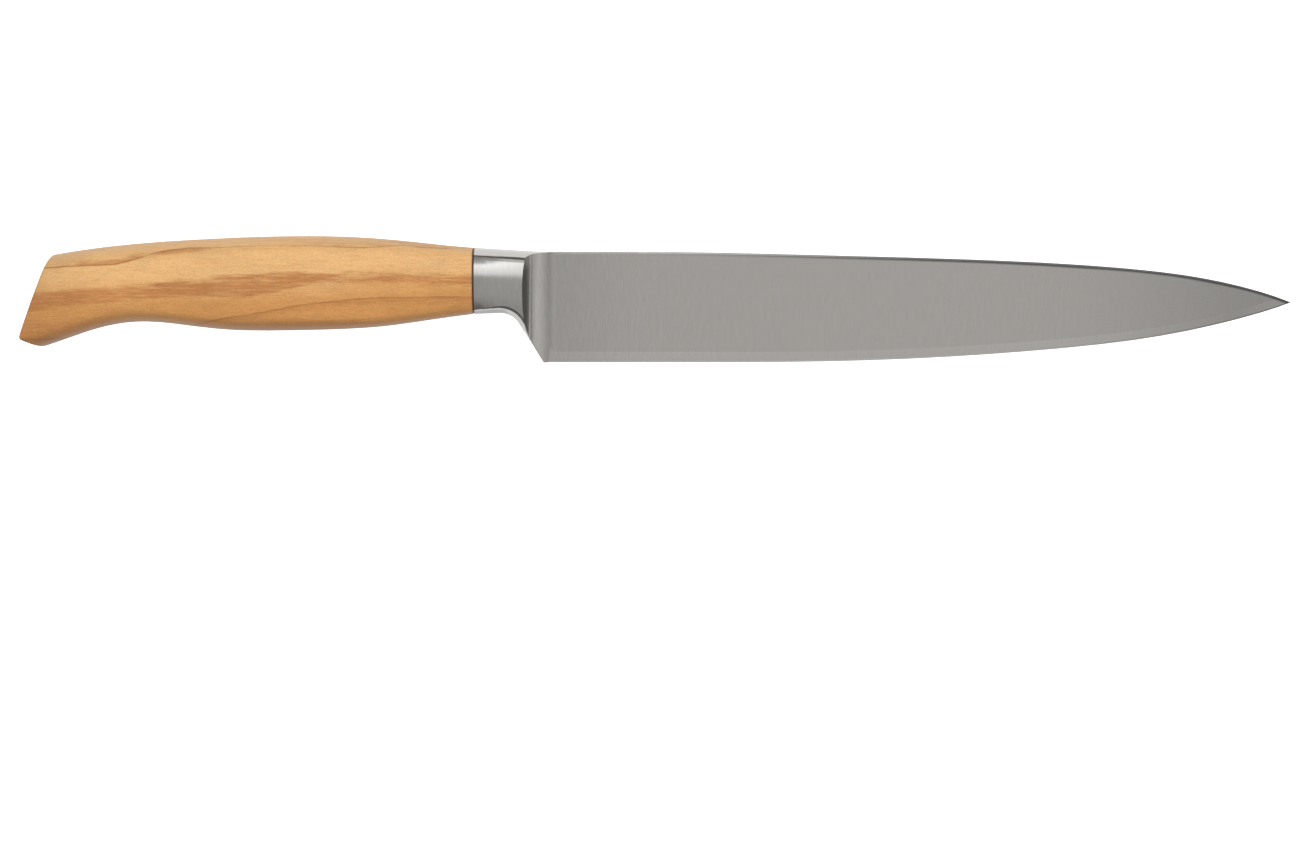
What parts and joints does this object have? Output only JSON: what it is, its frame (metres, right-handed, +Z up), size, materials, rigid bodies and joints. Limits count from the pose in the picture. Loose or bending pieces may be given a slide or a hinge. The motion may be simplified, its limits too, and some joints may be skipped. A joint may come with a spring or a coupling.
{
  "type": "carving knife",
  "caption": "Forged carving knife lying on its side: tapered pointed blade, integral rounded bolster and a one-piece wooden handle with a beaked butt on a hidden tang.",
  "frame": {"origin": "centre of the knife's bounding box, at the level of the surface that the knife lies on", "axes": "+X towards the tip along the knife's length, +Y towards the spine, +Z up from the surface, out of the side that shows"},
  "size_m": [0.3301, 0.033, 0.0218],
  "materials": {
    "steel": "satin ground flats with fine lines across the blade, brighter brushed bolster",
    "wood": "smooth oiled hardwood, honey coloured, with darker figure along the grain",
    "adhesive": "matt dark brown cured resin"
  },
  "bodies": {
    "root": {"blade": "steel", "handle": "wood", "tang_adhesive": "adhesive"}
  },
  "joints": []
}
